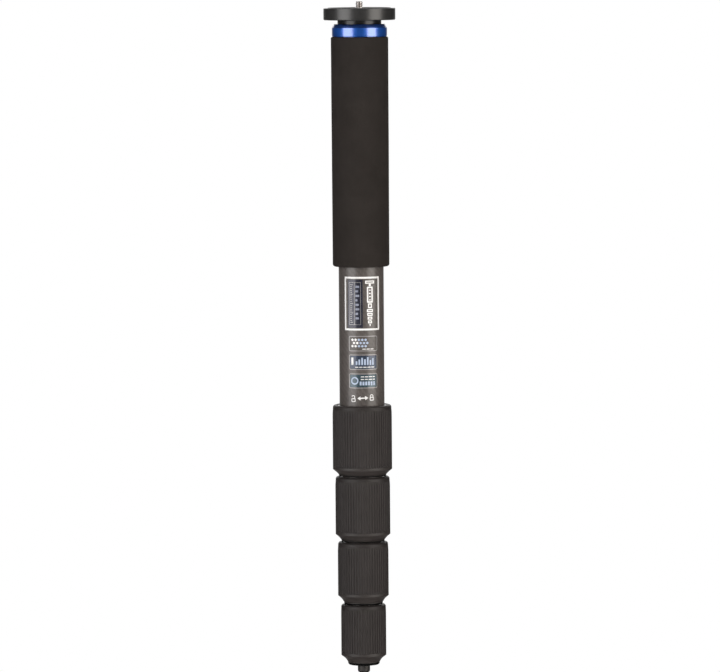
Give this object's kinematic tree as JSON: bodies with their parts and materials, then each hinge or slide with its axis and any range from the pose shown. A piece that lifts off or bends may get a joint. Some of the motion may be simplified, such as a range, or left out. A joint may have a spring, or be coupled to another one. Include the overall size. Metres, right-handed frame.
{
  "type": "camera monopod",
  "caption": "Telescoping camera monopod: round camera plate with a reversible screw, blue ring, foam grip, nested tubes with twist-lock collars and a screw-back rubber foot over a spike.",
  "frame": {"origin": "centre of the camera seat, on the axis of the camera screw, in the plane of the rubber pad's top", "axes": "+Z out of the seat along the camera screw, the way the camera comes off, with the folded tubes along -Z; -Y is the side with the printed marks, the front of the picture; +X to the right seen from the front"},
  "size_m": [0.0574, 0.0574, 0.568],
  "materials": {
    "steel": "satin",
    "pad_rubber": "matte",
    "plate_metal": "satin",
    "blue_metal": "gloss",
    "foam": "matte",
    "carbon": "gloss",
    "dark_metal": "satin",
    "lock_rubber": "matte",
    "lock_nut": "satin",
    "thread_metal": "satin",
    "white_plastic": "matte",
    "seal_rubber": "matte",
    "dark_steel": "satin",
    "brass": "satin"
  },
  "bodies": {
    "upper_body": {"reversible_stud": "steel", "camera_pad": "pad_rubber", "camera_plate": "plate_metal", "plate_screws": "dark_steel", "top_hub": "dark_metal", "accent_ring": "blue_metal", "grip_sleeve": "foam", "tube_1": "carbon", "ferrule_1": "thread_metal"},
    "collet_1": {"collet_1": "white_plastic"},
    "lock_1": {"lock_nut_1": "lock_nut", "lock_grip_1": "lock_rubber", "wiper_seal_1": "seal_rubber"},
    "section_2": {"tube_2": "carbon", "guide_shims_2": "white_plastic", "ferrule_2": "thread_metal"},
    "collet_2": {"collet_2": "white_plastic"},
    "lock_2": {"lock_nut_2": "lock_nut", "lock_grip_2": "lock_rubber", "wiper_seal_2": "seal_rubber"},
    "section_3": {"tube_3": "carbon", "guide_shims_3": "white_plastic", "ferrule_3": "thread_metal"},
    "collet_3": {"collet_3": "white_plastic"},
    "lock_3": {"lock_nut_3": "lock_nut", "lock_grip_3": "lock_rubber", "wiper_seal_3": "seal_rubber"},
    "section_4": {"tube_4": "carbon", "guide_shims_4": "white_plastic", "ferrule_4": "thread_metal"},
    "collet_4": {"collet_4": "white_plastic"},
    "lock_4": {"lock_nut_4": "lock_nut", "lock_grip_4": "lock_rubber", "wiper_seal_4": "seal_rubber"},
    "section_5": {"tube_5": "carbon", "guide_shims_5": "white_plastic", "end_plug": "dark_metal", "spike_stud": "dark_steel"},
    "foot_bush": {"foot_insert": "brass"},
    "foot": {"rubber_foot": "lock_rubber"}
  },
  "joints": [
    {"name": "section_2_slide", "type": "slide", "parent": "upper_body", "child": "section_2", "axis": [0, 0, -1], "range_m": [0, 0.275]},
    {"name": "lock_1_travel", "type": "slide", "parent": "upper_body", "child": "collet_1", "axis": [0, 0, -1], "range_m": [0, 0.0005]},
    {"name": "lock_1_twist", "type": "hinge", "parent": "collet_1", "child": "lock_1", "pos_m": [0, 0, -0.3478], "axis": [0, 0, -1], "range_deg": [0, 90]},
    {"name": "section_3_slide", "type": "slide", "parent": "section_2", "child": "section_3", "axis": [0, 0, -1], "range_m": [0, 0.275]},
    {"name": "lock_2_travel", "type": "slide", "parent": "section_2", "child": "collet_2", "axis": [0, 0, -1], "range_m": [0, 0.0005]},
    {"name": "lock_2_twist", "type": "hinge", "parent": "collet_2", "child": "lock_2", "pos_m": [0, 0, -0.4054], "axis": [0, 0, -1], "range_deg": [0, 90]},
    {"name": "section_4_slide", "type": "slide", "parent": "section_3", "child": "section_4", "axis": [0, 0, -1], "range_m": [0, 0.275]},
    {"name": "lock_3_travel", "type": "slide", "parent": "section_3", "child": "collet_3", "axis": [0, 0, -1], "range_m": [0, 0.0005]},
    {"name": "lock_3_twist", "type": "hinge", "parent": "collet_3", "child": "lock_3", "pos_m": [0, 0, -0.4581], "axis": [0, 0, -1], "range_deg": [0, 90]},
    {"name": "section_5_slide", "type": "slide", "parent": "section_4", "child": "section_5", "axis": [0, 0, -1], "range_m": [0, 0.275]},
    {"name": "lock_4_travel", "type": "slide", "parent": "section_4", "child": "collet_4", "axis": [0, 0, -1], "range_m": [0, 0.0005]},
    {"name": "lock_4_twist", "type": "hinge", "parent": "collet_4", "child": "lock_4", "pos_m": [0, 0, -0.5086], "axis": [0, 0, -1], "range_deg": [0, 90]},
    {"name": "foot_travel", "type": "slide", "parent": "section_5", "child": "foot_bush", "axis": [0, 0, 1], "range_m": [0, 0.00875]},
    {"name": "foot_twist", "type": "hinge", "parent": "foot_bush", "child": "foot", "pos_m": [0, 0, -0.553], "axis": [0, 0, 1], "range_deg": [0, 2520]}
  ],
  "couplings": [
    {"joint": "lock_1_twist", "follows": "lock_1_travel", "rad_per_m": 3141.6},
    {"joint": "lock_2_twist", "follows": "lock_2_travel", "rad_per_m": 3141.6},
    {"joint": "lock_3_twist", "follows": "lock_3_travel", "rad_per_m": 3141.6},
    {"joint": "lock_4_twist", "follows": "lock_4_travel", "rad_per_m": 3141.6},
    {"joint": "foot_twist", "follows": "foot_travel", "rad_per_m": 5026.5}
  ]
}
